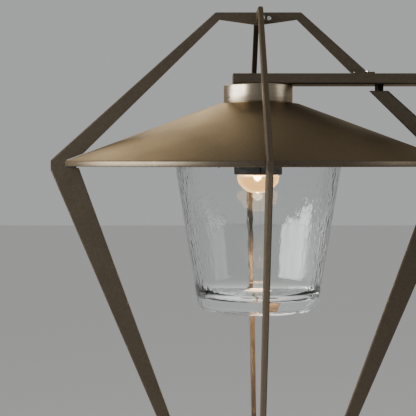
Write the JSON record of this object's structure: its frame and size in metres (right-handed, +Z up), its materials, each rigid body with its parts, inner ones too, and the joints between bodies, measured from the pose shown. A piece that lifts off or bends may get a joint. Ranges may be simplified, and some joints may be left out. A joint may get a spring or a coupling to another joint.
{
  "type": "garden lantern",
  "caption": "Diamond cage lantern of flat metal ribs on a bracket arm, with a conical shade, a clear glass and a domed lamp.",
  "frame": {"origin": "centre of the wall plate's back face", "axes": "+X into the wall, +Z up; the lantern's upright axis is at X = -0.320 m and its front rib points to -Y"},
  "size_m": [0.5638, 0.4876, 0.7735],
  "materials": {
    "bronze_coat": "fine-textured satin powder coat",
    "bronze_satin": "smooth satin, turned",
    "black_coat": "matt black",
    "steel": "bright, satin",
    "brass": "knurled, satin",
    "clear_glass": "clear, hand made, thick base",
    "lamp_lens": "frosted, lit warm white",
    "lamp_metal": "die cast, satin",
    "ceramic": "unglazed ceramic",
    "black_rubber": "matt"
  },
  "bodies": {
    "root": {"shade": "bronze_coat", "collar": "bronze_satin", "clamp_ring": "bronze_satin", "clamp_screws": "steel", "gallery_pan": "bronze_satin", "pan_spacers": "steel", "pan_screws": "steel", "glass_gasket": "black_rubber", "lamp_can": "black_coat", "holder_plate": "steel", "lampholder": "ceramic", "rib_left": "bronze_coat", "rib_front": "bronze_coat", "rib_back": "bronze_coat", "rib_right_upper": "bronze_coat", "rib_right_lower": "bronze_coat", "rim_pads": "black_rubber", "rib_foot": "bronze_coat", "foot_screws": "steel", "arm_spacer": "black_coat", "corner_cleats": "bronze_coat", "cleat_screws": "steel", "tip_hub": "bronze_coat", "tip_finial": "bronze_satin", "tip_stud": "steel", "arm": "bronze_coat", "arm_end_cap": "bronze_coat", "arm_bolts": "steel", "arm_nuts": "steel", "cable_bush": "black_rubber", "wall_plate": "bronze_coat", "cover_gasket": "black_rubber", "wall_cover": "bronze_coat", "cover_pillars": "steel", "cover_screws": "steel", "terminal_block": "ceramic", "supply_cable": "black_rubber"},
    "glass": {"glass": "clear_glass"},
    "lamp": {"lamp_body": "lamp_metal", "lamp_lens": "lamp_lens", "lamp_pins": "brass"},
    "thumbscrew_a": {"thumbscrew_a": "brass"},
    "thumbscrew_b": {"thumbscrew_b": "brass"},
    "thumbscrew_c": {"thumbscrew_c": "brass"}
  },
  "joints": [
    {"name": "glass_drop", "type": "slide", "parent": "root", "child": "glass", "axis": [0, 0, -1], "range_m": [0, 0.18]},
    {"name": "lamp_pull", "type": "slide", "parent": "root", "child": "lamp", "axis": [0, 0, -1], "range_m": [0, 0.03]},
    {"name": "thumbscrew_a_back_off", "type": "slide", "parent": "root", "child": "thumbscrew_a", "axis": [0, 1, 0], "range_m": [0, 0.005]},
    {"name": "thumbscrew_b_back_off", "type": "slide", "parent": "root", "child": "thumbscrew_b", "axis": [-0.866, -0.5, 0], "range_m": [0, 0.005]},
    {"name": "thumbscrew_c_back_off", "type": "slide", "parent": "root", "child": "thumbscrew_c", "axis": [0.866, -0.5, 0], "range_m": [0, 0.005]}
  ]
}
